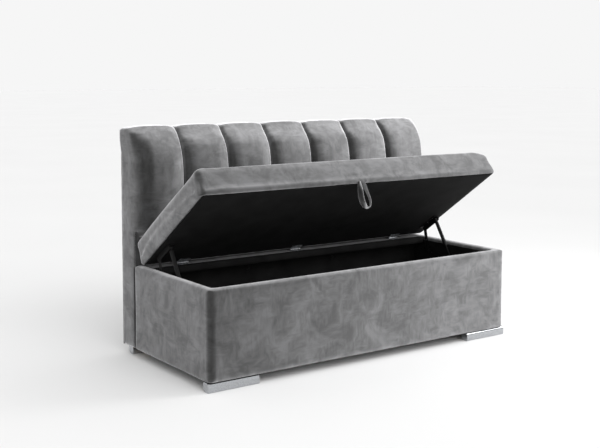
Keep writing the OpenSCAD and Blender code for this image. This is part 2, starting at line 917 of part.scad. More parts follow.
// the padded lid as one closed shape, drawn in by an inset
module lid_body(inset) {
    low = max(lid_low_r - inset, 1);
    top = seat_r - inset;
    rear = seat_rear_r - inset;
    plan = lid_corner_r - inset;
    w = lid_w - 2 * inset;
    l = lid_l - 2 * inset;
    t = lid_t - 2 * inset;
    translate([0, lid_front + inset, lid_under + inset]) intersection() {
        across(-w / 2, w / 2) rounded([l, t], [low, low, rear, top]);
        translate([-w / 2, l, 0]) rotate([90, 0, 0]) linear_extrude(l)
            rounded([w, t], [low, low, top, top]);
        translate([-w / 2, 0, 0]) linear_extrude(t)
            rounded([w, l], [1, 1, 1, 1] * plan);
    }
}

// outline of the wooden lid frame from above
module frame_plan() {
    w = lid_w - 2 * frame_in;
    l = lid_l - 2 * frame_in;
    translate([-w / 2, lid_front + frame_in])
        rounded([w, l], [1, 1, 1, 1] * (lid_corner_r - frame_in));
}

module lid_frame() {
    rail = frame_in + frame_rail_w;
    color(board) on_lid() difference() {
        translate([0, 0, frame_z]) linear_extrude(frame_t) difference() {
            frame_plan();
            for (s = [0, 1]) mirror([s, 0])
                translate([frame_rail_w / 2, lid_front + rail])
                    square([lid_w / 2 - rail - frame_rail_w / 2, lid_l - 2 * rail]);
        }
        at_hinge_lid_screws() screw_hole();
        for (s = [-1, 1]) side(s) at_lift_lid_screws() screw_hole();
    }
}

module seat_board() {
    color(board) on_lid() translate([0, 0, frame_z + frame_t]) linear_extrude(seat_board_t) frame_plan();
}

module seat_foam() {
    color(foam) on_lid() difference() {
        lid_body(cover_t);
        translate([0, 0, lid_under]) linear_extrude(cover_t + frame_t + seat_board_t) frame_plan();
    }
}

// the part of the underside inside the turned-under cover
module cloth_plan() {
    translate([hem_w - lid_w / 2, lid_front + hem_w]) square([lid_w - 2 * hem_w, lid_l - 2 * hem_w]);
}

module seat_cover() {
    color(velvet) on_lid() difference() {
        lid_body(0);
        lid_body(cover_t);
        translate([0, 0, lid_under - through]) linear_extrude(cover_t + through) cloth_plan();
        at_hinge_lid_screws() screw_hole();
    }
}

module lid_cloth() {
    color(black_cloth) on_lid() difference() {
        translate([0, 0, lid_under]) linear_extrude(cover_t) cloth_plan();
        at_hinge_lid_screws() screw_hole();
        for (s = [-1, 1]) side(s) at_lift_lid_screws() screw_hole();
    }
}

// ---------- pull strap ----------

// outline of the loop, hanging from the origin
function drop(r, top) =
    let (lean = asin((r - top) / (loop_h - loop_w / 2)), c = [0, loop_w / 2 - loop_h])
    concat([[-top, 0]], arc(c, r, 180 - lean, 360 + lean, 24), [[top, 0]]);

// doubled ribbon that hangs plumb in front of the box, its rear top corner
// trimmed to the slope of the open lid
module pull_strap() {
    root = turned([lid_front + lid_low_r / 2, lid_under - seat_gap], open_angle);
    half = ribbon_w / 2;
    color(velvet) at_hinge() translate([0, root.x, root.y]) difference() {
        translate([0, half, 0]) rotate([90, 0, 0]) linear_extrude(ribbon_w) difference() {
            polygon(drop(loop_w / 2, ribbon_t + 0.5));
            translate([0, -ribbon_t]) polygon(drop(loop_w / 2 - ribbon_t, 0.5));
        }
        across(-loop_w, loop_w)
            polygon([[0, 0], [loop_h, -loop_h * tan(open_angle)], [loop_h, through], [0, through]]);
    }
}

// ---------- parts ----------

front_panel();
rear_panel();
left_panel();
right_panel();
bottom_panel();
hinge_rail();
rail_cover();
box_lining();
box_foam();
box_cover();
base_cloth();
back_side_left();
back_side_right();
back_rails();
back_panel();
back_rear_panel();
back_cover();
back_bolts();
back_channel(1);  // back_channel_1
back_channel(2);  // back_channel_2
back_channel(3);  // back_channel_3
back_channel(4);  // back_channel_4
back_channel(5);  // back_channel_5
back_channel(6);  // back_channel_6
back_channel(7);  // back_channel_7
foot_front_left();
foot_front_right();
foot_rear_left();
foot_rear_right();
foot_screws();
hinge_base_leaf(1);  // hinge_base_leaf_1
hinge_base_leaf(2);  // hinge_base_leaf_2
hinge_base_leaf(3);  // hinge_base_leaf_3
hinge_lid_leaf(1);  // hinge_lid_leaf_1
hinge_lid_leaf(2);  // hinge_lid_leaf_2
hinge_lid_leaf(3);  // hinge_lid_leaf_3
hinge_pins();
hinge_base_screws();
hinge_lid_screws();
lift_base_plate(-1);  // lift_base_plate_left
lift_base_plate(1);  // lift_base_plate_right
lift_lid_arm(-1);  // lift_lid_arm_left
lift_lid_arm(1);  // lift_lid_arm_right
stay_link(-1);  // stay_link_left
stay_link(1);  // stay_link_right
gas_cylinder(-1);  // gas_cylinder_left
gas_cylinder(1);  // gas_cylinder_right
gas_rod(-1);  // gas_rod_left
gas_rod(1);  // gas_rod_right
lift_base_screws();
lift_lid_screws();
lid_frame();
seat_board();
seat_foam();
seat_cover();
lid_cloth();
pull_strap();
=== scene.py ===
"""Looks of an upholstered storage bench: padded velvet over the frame, black lining,
chrome feet and the lift gear. Metres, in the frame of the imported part."""

import json
import math

import bpy
import numpy as np
from mathutils import Matrix, Vector


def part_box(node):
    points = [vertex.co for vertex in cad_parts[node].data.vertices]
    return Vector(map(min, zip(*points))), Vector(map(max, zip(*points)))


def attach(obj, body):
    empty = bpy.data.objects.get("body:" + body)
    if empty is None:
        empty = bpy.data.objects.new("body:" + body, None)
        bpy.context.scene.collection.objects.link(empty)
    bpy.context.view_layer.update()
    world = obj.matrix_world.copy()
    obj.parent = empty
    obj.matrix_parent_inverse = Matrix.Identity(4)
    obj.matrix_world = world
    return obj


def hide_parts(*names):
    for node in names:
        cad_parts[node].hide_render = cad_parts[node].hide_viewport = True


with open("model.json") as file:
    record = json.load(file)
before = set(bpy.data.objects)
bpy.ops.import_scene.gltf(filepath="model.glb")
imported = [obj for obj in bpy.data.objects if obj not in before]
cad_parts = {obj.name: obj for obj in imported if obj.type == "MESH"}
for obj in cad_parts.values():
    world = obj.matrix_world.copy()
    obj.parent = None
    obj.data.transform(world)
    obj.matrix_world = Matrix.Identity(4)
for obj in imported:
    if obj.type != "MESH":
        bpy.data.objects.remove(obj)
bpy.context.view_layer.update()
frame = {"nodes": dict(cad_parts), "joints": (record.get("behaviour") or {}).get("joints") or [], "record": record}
JOINTS = {j["name"]: j for j in frame["joints"]}
HINGE = Vector(JOINTS["lid_hinge"]["pos_m"])
OPEN = math.radians(JOINTS["lid_hinge"]["range_deg"][1])
SHUT = Matrix.Translation(HINGE) @ Matrix.Rotation(OPEN, 4, "X") @ Matrix.Translation(-HINGE)
CHANNELS = 7


# ---------- handling pieces ----------

def deselect():
    for o in bpy.context.selected_objects:
        o.select_set(False)


def only(obj):
    deselect()
    obj.select_set(True)
    bpy.context.view_layer.objects.active = obj


def edit(obj):
    only(obj)
    bpy.ops.object.mode_set(mode="EDIT")
    bpy.ops.mesh.select_all(action="SELECT")


def done():
    bpy.ops.object.mode_set(mode="OBJECT")


def pick_faces(obj, test):
    """Edit mode with just the faces selected whose centre passes the test."""
    edit(obj)
    bpy.ops.mesh.select_mode(type="FACE")
    bpy.ops.mesh.select_all(action="DESELECT")
    done()
    for face in obj.data.polygons:
        face.select = bool(test(face.center))
    bpy.ops.object.mode_set(mode="EDIT")


def apply(obj, kind, **values):
    only(obj)
    m = obj.modifiers.new(kind.title(), kind)
    for k, v in values.items():
        setattr(m, k, v)
    bpy.ops.object.modifier_apply(modifier=m.name)


def points(obj):
    co = np.empty(len(obj.data.vertices) * 3)
    obj.data.vertices.foreach_get("co", co)
    return co.reshape(-1, 3)


def put(obj, co):
    obj.data.vertices.foreach_set("co", np.asarray(co, float).ravel())
    obj.data.update()


def turn(obj, matrix):
    """Moves the mesh itself, so that the object stays at the origin."""
    obj.data.transform(matrix)
    obj.data.update()


def from_frame(name, *nodes):
    """One welded mesh from copies of these frame nodes."""
    made = []
    for n in nodes:
        c = bpy.data.objects.new(name, frame["nodes"][n].data.copy())
        bpy.context.scene.collection.objects.link(c)
        made.append(c)
    deselect()
    for c in made:
        c.select_set(True)
    bpy.context.view_layer.objects.active = made[0]
    if len(made) > 1:
        bpy.ops.object.join()
    obj = made[0]
    obj.name = name
    obj.data.materials.clear()
    edit(obj)
    bpy.ops.mesh.remove_doubles(threshold=0.00002)
    done()
    return obj


def trim(obj, at, normal):
    """Cuts away what lies beyond a plane and closes the cut."""
    edit(obj)
    bpy.ops.mesh.bisect(plane_co=at, plane_no=normal, use_fill=True, clear_outer=True)
    done()


def noise(co, seed, size):
    """Smooth waves of about this size, between -1 and 1, the same on every run."""
    rng = np.random.default_rng(seed)
    out = np.zeros(len(co))
    for _ in range(9):
        d = rng.normal(size=3)
        d /= np.linalg.norm(d)
        waves = co @ d * (2 * math.pi / (size * rng.uniform(0.6, 1.7)))
        out += np.sin(waves + rng.uniform(0, 6.28))
    return out / 4.5


def smooth_step(x, a, b):
    t = np.clip((x - a) / (b - a), 0, 1)
    return t * t * (3 - 2 * t)


# ---------- materials ----------

def linear(hex_colour):
    """An sRGB hex colour as linear RGBA."""
    out = []
    for i in (0, 2, 4):
        c = int(hex_colour[i:i + 2], 16) / 255
        out.append(c / 12.92 if c <= 0.04045 else ((c + 0.055) / 1.055) ** 2.4)
    return (*out, 1.0)


def add(mat, kind, links=None, **values):
    """Adds a shader node, sets its properties and sockets, and links sockets to it."""
    node = mat.node_tree.nodes.new("ShaderNode" + kind)
    for k, v in values.items():
        setattr(node, k, v)
    for socket, source in (links or {}).items():
        if isinstance(source, bpy.types.NodeSocket):
            mat.node_tree.links.new(source, node.inputs[socket])
        else:
            node.inputs[socket].default_value = source
    return node


def new_material(name):
    mat = bpy.data.materials.new(name)
    mat.use_nodes = True
    mat.node_tree.nodes.clear()
    return mat


def finish_material(mat, shader):
    out = add(mat, "OutputMaterial")
    mat.node_tree.links.new(shader.outputs[0], out.inputs[0])
    return mat


def ramp(mat, fac, stops):
    node = add(mat, "ValToRGB", {"Fac": fac})
    e = node.color_ramp.elements
    for i, (at, colour) in enumerate(stops):
        s = e[i] if i < 2 else e.new(at)
        s.position = at
        s.color = colour
    return node


def grey(value):
    return (value, value, value, 1)


def stretched(mat, scale, turn_deg=(0, 0, 0), at=(0, 0, 0)):
    """Object coordinates moved, turned and stretched, for streaks that run one way."""
    co = add(mat, "TexCoord")
    m = add(mat, "Mapping", {"Vector": co.outputs["Object"]})
    m.inputs["Location"].default_value = at
    m.inputs["Rotation"].default_value = [math.radians(a) for a in turn_deg]
    m.inputs["Scale"].default_value = scale
    return m.outputs[0]


def crushed_velvet(name, dark, mid, light, sheen_painted_light, turning, seed=0.0):
    """Grey velvet: patches of pile brushed upright, level or aslant give the eye soft light
    and dark marks, and the pile is dark seen face on and pale towards the edges. The front
    and side pair scales the sheen on faces to the front and on those to the side; it is set
    piece by piece as painted light and shade, not from the pile. turning says how the sheen
    grows as the face turns away."""
    mat = new_material(name)
    shift = (seed, seed * 0.7, seed * 1.3)
    plain = stretched(mat, (1, 1, 1), at=shift)
    patches = add(mat, "TexNoise", {"Vector": plain, "Scale": 9.0, "Detail": 3.0,
                                    "Roughness": 0.6, "Distortion": 1.2})
    upright_way = stretched(mat, (1, 1, 0.26), (0, 9, 0), shift)
    upright = add(mat, "TexNoise", {"Vector": upright_way, "Scale": 75.0, "Detail": 2.0,
                                    "Roughness": 0.5, "Distortion": 0.7})
    level_way = stretched(mat, (0.3, 0.3, 1), (0, -16, 0), shift)
    level = add(mat, "TexNoise", {"Vector": level_way, "Scale": 62.0, "Detail": 2.0,
                                  "Roughness": 0.5, "Distortion": 0.9})
    way = add(mat, "TexNoise", {"Vector": plain, "Scale": 17.0, "Detail": 1.0, "Distortion": 0.6})
    choice = add(mat, "MapRange", {"Value": way.outputs["Fac"], "From Min": 0.44, "From Max": 0.56})
    strokes = add(mat, "Mix", {0: choice.outputs[0], 2: upright.outputs["Fac"],
                               3: level.outputs["Fac"]})
    half = add(mat, "Math", {0: strokes.outputs[0], 1: 0.36}, operation="MULTIPLY")
    both = add(mat, "Math", {0: patches.outputs["Fac"], 1: 0.64, 2: half.outputs[0]},
               operation="MULTIPLY_ADD")
    colour = ramp(mat, both.outputs[0], [(0.38, linear(dark)), (0.64, linear(light)),
                                         (0.5, linear(mid))])
    pile = add(mat, "TexNoise", {"Vector": plain, "Scale": 900.0, "Detail": 1.0})
    laid = add(mat, "Bump", {"Strength": 0.3, "Distance": 0.0015, "Height": both.outputs[0]})
    fuzz = add(mat, "Bump", {"Strength": 0.12, "Distance": 0.0004, "Height": pile.outputs["Fac"],
                             "Normal": laid.outputs[0]})
    brushed = add(mat, "MapRange", {"Value": both.outputs[0], "From Min": 0.38, "From Max": 0.62,
                                    "To Min": 0.75, "To Max": 1.22})
    # the sheen is scaled apart on faces to the front and to the side, by values set per piece: painted light and
    # shade
    facing = add(mat, "SeparateXYZ", {0: add(mat, "NewGeometry").outputs["Normal"]})
    sideways = add(mat, "Math", {0: facing.outputs[0]}, operation="ABSOLUTE")
    painted_face_light = add(mat, "MapRange", {"Value": sideways.outputs[0], "From Min": 0.3, "From Max": 0.9,
                                "To Min": sheen_painted_light[0], "To Max": sheen_painted_light[1]})
    marks_and_painted_light = add(mat, "Math", {0: brushed.outputs[0], 1: painted_face_light.outputs[0]}, operation="MULTIPLY")
    slant = add(mat, "LayerWeight", {"Blend": 0.5})
    tips = ramp(mat, slant.outputs["Facing"], [(at, grey(level)) for at, level in turning])
    shine = add(mat, "Math", {0: marks_and_painted_light.outputs[0], 1: tips.outputs[0]}, operation="MULTIPLY")
    s = add(mat, "BsdfPrincipled", {"Base Color": colour.outputs[0], "Normal": fuzz.outputs[0],
                                    "Sheen Weight": shine.outputs[0]})
    s.inputs["Roughness"].default_value = 0.85
    s.inputs["Specular IOR Level"].default_value = 0.15
    s.inputs["Sheen Roughness"].default_value = 1.0
    s.inputs["Sheen Tint"].default_value = linear("f2f2f4")
    return finish_material(mat, s)


def spunbond(name, colour):
    """Black spun-bonded lining cloth: dull, with a fine pressed dot pattern."""
    mat = new_material(name)
    dots = add(mat, "TexVoronoi", {"Vector": stretched(mat, (1, 1, 1)), "Scale": 420.0})
    cloud = add(mat, "TexNoise", {"Vector": stretched(mat, (1, 1, 1)), "Scale": 14.0, "Detail": 3.0})
    c = ramp(mat, cloud.outputs["Fac"], [(0.3, linear(colour[0])), (0.7, linear(colour[1]))])
    b = add(mat, "Bump", {"Strength": 0.5, "Distance": 0.0003, "Height": dots.outputs["Distance"]})
    s = add(mat, "BsdfPrincipled", {"Base Color": c.outputs[0], "Normal": b.outputs[0]})
    s.inputs["Roughness"].default_value = 0.9
    s.inputs["Specular IOR Level"].default_value = 0.15
    return finish_material(mat, s)


def metal(name, colour, rough, grain=(1, 1, 1), depth=0.00004, scale=300.0):
    """Bare or plated metal, with faint polishing or drawing marks along the grain."""
    mat = new_material(name)
    marks = add(mat, "TexNoise", {"Vector": stretched(mat, grain), "Scale": scale, "Detail": 2.0})
    r = add(mat, "MapRange", {"Value": marks.outputs["Fac"], "To Min": rough * 0.75,
                              "To Max": rough * 1.3})
    b = add(mat, "Bump", {"Strength": 0.3, "Distance": depth, "Height": marks.outputs["Fac"]})
    c = ramp(mat, marks.outputs["Fac"], [(0.2, linear(colour[0])), (0.8, linear(colour[1]))])
    s = add(mat, "BsdfPrincipled", {"Base Color": c.outputs[0], "Roughness": r.outputs[0],
                                    "Normal": b.outputs[0]})
    s.inputs["Metallic"].default_value = 1.0
    return finish_material(mat, s)


def paint(name, colour, rough, gloss):
    """Satin paint with a slight orange peel."""
    mat = new_material(name)
    peel = add(mat, "TexNoise", {"Vector": stretched(mat, (1, 1, 1)), "Scale": 260.0, "Detail": 1.0})
    c = ramp(mat, peel.outputs["Fac"], [(0.2, linear(colour[0])), (0.8, linear(colour[1]))])
    b = add(mat, "Bump", {"Strength": 0.2, "Distance": 0.0001, "Height": peel.outputs["Fac"]})
    s = add(mat, "BsdfPrincipled", {"Base Color": c.outputs[0], "Normal": b.outputs[0]})
    s.inputs["Roughness"].default_value = rough
    s.inputs["Specular IOR Level"].default_value = gloss
    return finish_material(mat, s)


def sawn_board(name):
    """Pale sawn board with grain along its length."""
    mat = new_material(name)
    grain = add(mat, "TexNoise", {"Vector": stretched(mat, (2, 40, 40)), "Scale": 3.0, "Detail": 5.0,
                                  "Distortion": 0.6})
    c = ramp(mat, grain.outputs["Fac"], [(0.3, linear("8a6a42")), (0.7, linear("c4a478"))])
    b = add(mat, "Bump", {"Strength": 0.3, "Distance": 0.0003, "Height": grain.outputs["Fac"]})
    s = add(mat, "BsdfPrincipled", {"Base Color": c.outputs[0], "Normal": b.outputs[0]})
    s.inputs["Roughness"].default_value = 0.7
    return finish_material(mat, s)


def open_foam(name):
    """Cream upholstery foam with open cells about a millimetre across."""
    mat = new_material(name)
    cells = add(mat, "TexVoronoi", {"Vector": stretched(mat, (1, 1, 1)), "Scale": 900.0})
    c = ramp(mat, cells.outputs["Distance"], [(0.0, linear("b9a878")), (0.6, linear("e6d9b0"))])
    b = add(mat, "Bump", {"Strength": 0.6, "Distance": 0.0006, "Height": cells.outputs["Distance"]})
    s = add(mat, "BsdfPrincipled", {"Base Color": c.outputs[0], "Normal": b.outputs[0]})
    s.inputs["Roughness"].default_value = 0.95
    return finish_material(mat, s)


# Sheen weight by how far a face turns from the viewer, from face on (0) to edge on (1). A velvet's sheen grows
# this way, but the stops are set to tone levels, and the dip at 0.55 is painted shade on faces seen aslant, such
# as the sides.
FLAT_FACE = ((0.03, 0), (1.0, 1), (0.13, 0.1), (0.2, 0.25), (0.3, 0.45), (0.38, 0.56),
             (0.55, 0.5), (0.8, 0.9))
CHANNEL_FACE = ((0.03, 0), (1.0, 1), (0.12, 0.12), (0.2, 0.26), (0.27, 0.33), (0.38, 0.32),
                (0.55, 0.34), (0.72, 0.8))
GREY_DYE, RAIL_SHADE_GREYS = ("2a2a2a", "323232", "3b3b3c"), ("1c1c1c", "232323", "2a2a2a")
# The front and side values given to each velvet scale its sheen as painted light and shade: raised on the
# backrest, which the open lid shades, and lowered on the seat and the box.
BOX_VELVET = crushed_velvet("crushed_velvet_box", *GREY_DYE, (0.79, 0.59), FLAT_FACE)
SEAT_VELVET = crushed_velvet("crushed_velvet_seat", *GREY_DYE, (0.61, 0.68), FLAT_FACE, seed=1.7)
BACK_VELVET = crushed_velvet("crushed_velvet_back", *GREY_DYE, (1.52, 0.78), CHANNEL_FACE,
                             seed=5.3)
# The rail's velvet is a darker, duller copy of the grey velvet: its greys and sheen are painted shade for the rail
# under the open lid.
SHADED_RAIL_VELVET = crushed_velvet("crushed_velvet_rail_shaded", *RAIL_SHADE_GREYS, (0.3, 0.3), FLAT_FACE, seed=2.2)
# The ribbon's greys are darker than the cover's, which is painted shade on the strap.
RIBBON = crushed_velvet("velvet_ribbon", "181818", "1f1f1f", "282828", (1.0, 1.0), FLAT_FACE,
                        seed=3.1)
# Chrome is a bright mirror with faint polishing marks, zinc is dull and mottled, and satin
# paint on steel shows only a weak wide gleam.
LINING = spunbond("black_lining", ("0b0b0b", "151515"))
CHROME = metal("polished_chrome", ("a4a6a9", "c4c6c9"), 0.07)
ZINC = metal("dull_zinc", ("3a3b3d", "c8cacd"), 0.33, scale=150.0, depth=0.0002)
BLACK_STEEL = paint("satin_black_steel", ("0c0c0c", "131313"), 0.5, 0.16)
BOARD = sawn_board("sawn_board")
FOAM = open_foam("open_cell_foam")

BY_SLOT = {"velvet": BOX_VELVET, "strap_velvet": RIBBON, "lining_cloth": LINING, "foam": FOAM,
           "foot_chrome": CHROME, "black_steel": BLACK_STEEL, "zinc": ZINC, "board": BOARD}


def dress_frame():
    """Every frame node takes the material of its slot, on its object."""
    slots = {s["node"]: s["material_slot"] for s in frame["record"]["subparts"]}
    for n, o in frame["nodes"].items():
        for s in o.material_slots:
            s.link = "OBJECT"
            s.material = BY_SLOT[slots[n]]


def dress(obj, mat):
    obj.data.materials.clear()
    obj.data.materials.append(mat)
    only(obj)
    bpy.ops.object.shade_smooth()


# ---------- padding ----------

def soften(obj, voxel, passes, factor=0.5):
    """Rounds a closed form as padding under a cover does."""
    apply(obj, "REMESH", mode="VOXEL", voxel_size=voxel)
    if passes:
        apply(obj, "SMOOTH", factor=factor, iterations=passes)


def swell(pads, frames=20):
    """Lets the covers swell over their padding. Each pad is (object, held, pressure, cap):
    held says which points are sewn or stapled down, cap is the furthest a point may move."""
    rest = {}
    for obj, held, pressure, cap in pads:
        rest[obj.name] = points(obj)
        g = obj.vertex_groups.new(name="held")
        for w in (1.0, 0.5):
            ids = [int(i) for i in np.nonzero(held == w)[0]]
            if ids:
                g.add(ids, w, "REPLACE")
        m = obj.modifiers.new("Cloth", "CLOTH")
        m.settings.vertex_group_mass = "held"
        m.settings.quality = 5
        m.settings.mass = 0.3
        m.settings.use_pressure = True
        m.settings.uniform_pressure_force = pressure
        m.settings.tension_stiffness = 12
        m.settings.compression_stiffness = 12
        m.settings.bending_stiffness = 4
        m.settings.effector_weights.gravity = 0
        m.collision_settings.use_collision = False
        m.point_cache.frame_end = frames
    for f in range(1, frames + 1):
        bpy.context.scene.frame_set(f)
    deps = bpy.context.evaluated_depsgraph_get()
    for obj, held, pressure, cap in pads:
        grown = points(obj.evaluated_get(deps))
        move = grown - rest[obj.name]
        far = np.linalg.norm(move, axis=1)
        move *= np.minimum(1, cap / np.maximum(far, 1e-9))[:, None]
        obj.modifiers.clear()
        obj.vertex_groups.clear()
        put(obj, rest[obj.name] + move)
    bpy.context.scene.frame_set(1)


def round_corners(co, lo, hi, r):
    """Brings the two upright front corners in to this radius."""
    u = abs(co[:, 0]) - (hi[0] - r)
    v = lo[1] + r - co[:, 1]
    far = np.hypot(u, v)
    beyond = (u > 0) & (v > 0) & (far > r)
    pull = np.where(beyond, 1 - r / np.maximum(far, r), 0)
    co[:, 0] -= np.sign(co[:, 0]) * u * pull
    co[:, 1] += v * pull


def padded_box():
    """Foam-wrapped walls under one velvet cover, with a soft rim turned inwards."""
    obj = from_frame("box_upholstery", "box_cover", "box_foam", "front_panel", "left_panel",
                     "right_panel")
    soften(obj, 0.007, 3)
    lo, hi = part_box("box_cover")
    co = points(obj)
    # the cover is pulled tight at the corners and eases over the long faces
    soft = noise(co, 3, 0.16) * 0.0011
    outward = np.zeros_like(co)
    front = smooth_step(-co[:, 1], -lo.y - 0.012, -lo.y - 0.002)
    ends = smooth_step(abs(co[:, 0]), hi.x - 0.012, hi.x - 0.002)
    outward[:, 1] -= front * soft
    outward[:, 0] += np.sign(co[:, 0]) * ends * soft
    co += outward
    round_corners(co, lo, hi, 0.03)
    put(obj, co)
    dress(obj, BOX_VELVET)
    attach(obj, "base")
    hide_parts("box_cover", "box_foam")


def rail_cover():
    """Velvet glued over the rail that carries the hinges."""
    obj = from_frame("rail_upholstery", "rail_cover", "hinge_rail")
    soften(obj, 0.005, 2)
    # the darker copy of the velvet is painted shade for the rail under the lid
    dress(obj, SHADED_RAIL_VELVET)
    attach(obj, "base")
    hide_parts("rail_cover", "hinge_rail")


def channel(i):
    """One padded channel of the backrest. The end ones carry the cover on round the side."""
    nodes = ["back_channel_%d" % i]
    left, right = i == 1, i == CHANNELS
    lo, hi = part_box(nodes[0])
    if left or right:
        name = "back_end_left" if left else "back_end_right"
        side = from_frame("side", "back_cover", "back_side_left" if left else "back_side_right")
        cut = (lo.x + 0.04, 0, 0) if left else (hi.x - 0.04, 0, 0)
        trim(side, cut, (1, 0, 0) if left else (-1, 0, 0))
        pad = from_frame(name, *nodes)
        deselect()
        side.select_set(True)
        pad.select_set(True)
        bpy.context.view_layer.objects.active = pad
        bpy.ops.object.join()
        soften(pad, 0.006, 8)
    else:
        pad = from_frame("back_channel_pad_%d" % i, *nodes)
        soften(pad, 0.006, 3)
    deepen(pad, lo, hi, left, right)
    return pad


def deepen(pad, lo, hi, left, right):
    """Draws the cover further in towards the seams on both sides of a channel, fills out its
    upper half, and rolls it round the outer corner of an end one."""
    roll_wide, roll_deep = 0.07, 0.03
    seam_deep, seam_shown = 0.024, 0.013
    ear_left, ear_right = 0.004, 0.007
    co = points(pad)
    x, z = co[:, 0], co[:, 2]
    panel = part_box("back_panel")[0].y
    t = np.clip(abs(x - (lo.x + hi.x) / 2) / ((hi.x - lo.x) / 2), 0, 0.999)
    out = np.clip((lo.x + roll_wide - x) / roll_wide, 0, 1) * left
    kept = smooth_step(x, hi.x - 0.06, hi.x - 0.012) * right
    round_off = seam_deep * (1 - (1 - t ** 3.4) ** 0.5) - seam_shown * (1 - (1 - t ** 2.6) ** 0.5)
    reach, soft = (0.075, 0.1) if left or right else (0.03, 0.04)
    front = smooth_step(panel + reach - co[:, 1], 0.0, soft)
    low = smooth_step(hi.z - z, 0.0, 0.07)
    shift = round_off * (1 - kept) + roll_deep * out ** 2
    belly = 0.015 * smooth_step(z, lo.z + 0.03, lo.z + 0.25)
    belly += 0.005 * smooth_step(z, hi.z - 0.18, hi.z - 0.05)
    belly *= smooth_step(hi.z - z, 0.0, 0.03)
    normals = np.empty(len(co) * 3)
    pad.data.vertices.foreach_get("normal", normals)
    normals = normals.reshape(-1, 3)
    upwards = (normals[:, 1] < 0) * (normals[:, 2] > 0)
    shoulder = 4 * (normals[:, 1] * normals[:, 2]) ** 2 * upwards
    co += normals * (0.004 * shoulder * smooth_step(z, hi.z - 0.16, hi.z - 0.04))[:, None]
    above = smooth_step(z, lo.z - 0.004, lo.z + 0.03)
    co[:, 1] += (shift * (0.35 + 0.65 * low) * above - belly) * front
    rise = smooth_step(z, lo.z + 0.15, hi.z - 0.05)
    co[:, 0] += ear_right * right * rise * smooth_step(x, hi.x - 0.05, hi.x)
    rise = smooth_step(z, hi.z - 0.13, hi.z - 0.06)
    co[:, 0] -= ear_left * left * rise * smooth_step(-x, -lo.x - 0.05, -lo.x)
    put(pad, co)


def held_channel(pad, lo, hi, end):
    """Points of a channel that are sewn into the valleys or stapled to the frame."""
    co = points(pad)
    held = np.zeros(len(co))
    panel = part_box("back_panel")[0].y
    held[co[:, 1] > panel - 0.002] = 1.0
    edge = np.minimum(co[:, 0] - lo.x, hi.x - co[:, 0])
    held[edge < 0.006] = 1.0
    if end:
        outer = co[:, 0] < lo.x + 0.02 if end < 0 else co[:, 0] > hi.x - 0.02
        held[outer] = 0.5
        held[(co[:, 1] > panel - 0.002) & ~outer] = 1.0
    return held


def backrest():
    pads, jobs = [], []
    for i in range(1, CHANNELS + 1):
        pad = channel(i)
        lo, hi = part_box("back_channel_%d" % i)
        end = -1 if i == 1 else 1 if i == CHANNELS else 0
        pads.append(pad)
        jobs.append((pad, held_channel(pad, lo, hi, end), 3.0, 0.006))
    return pads, jobs


def finish_backrest(pads):
    for i, pad in enumerate(pads, 1):
        dress(pad, BACK_VELVET)
        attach(pad, "base")
        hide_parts("back_channel_%d" % i)
        if i == 1:
            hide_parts("back_side_left")
        if i == CHANNELS:
            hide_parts("back_side_right")


def back_boards():
    """The plywood down the front and rear of the back frame, ending inside the padded ends."""
    for name, node in (("back_front_ply", "back_panel"), ("back_rear_ply", "back_rear_panel")):
        obj = from_frame(name, node)
        co = points(obj)
        co[:, 0] *= 0.965
        put(obj, co)
        dress(obj, BOARD)
        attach(obj, "base")
        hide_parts(node)


# ---------- cloth on the frames ----------

def cloth(name, corner, along, up, step=0.016):
    """A flat sheet from one corner and its two sides."""
    corner, along, up = Vector(corner), Vector(along), Vector(up)
    deselect()
    bpy.ops.mesh.primitive_grid_add(x_subdivisions=max(3, round(along.length / step)),
                                    y_subdivisions=max(3, round(up.length / step)), size=2)
    obj = bpy.context.object
    obj.name = name
    co = (points(obj) + 1) / 2
    put(obj, np.array(corner) + co[:, :1] * np.array(along) + co[:, 1:2] * np.array(up))
    return obj


def staple(obj, corner, along, up, out, sag, seed):
    """Small puckers where the cloth is stapled round its edge, and slack in its middle."""
    co = points(obj)
    along, up, out = Vector(along), Vector(up), np.array(Vector(out))
    u = (co - np.array(corner)) @ np.array(along.normalized())
    v = (co - np.array(corner)) @ np.array(up.normalized())
    edge = np.minimum(np.minimum(u, along.length - u), np.minimum(v, up.length - v))
    slack = smooth_step(edge, 0.06, 0.06 + min(along.length, up.length) * 0.4)
    round_edge = np.where(np.minimum(u, along.length - u) < np.minimum(v, up.length - v), v, u)
    pucker = np.sin(round_edge * (2 * math.pi / 0.055)) * np.exp(-edge / 0.02)
    move = slack * sag + pucker * 0.0005 + noise(co, seed, 0.2) * slack * sag * 0.35
    put(obj, co + move[:, None] * out)


def finish_cloth(obj, thick, mat, body, nodes):
    """Gives a sheet its thickness, cloth and body, and hides the frame nodes that it replaces."""
    apply(obj, "SOLIDIFY", thickness=thick, offset=0.0)
    dress(obj, mat)
    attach(obj, body)
    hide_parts(*nodes)


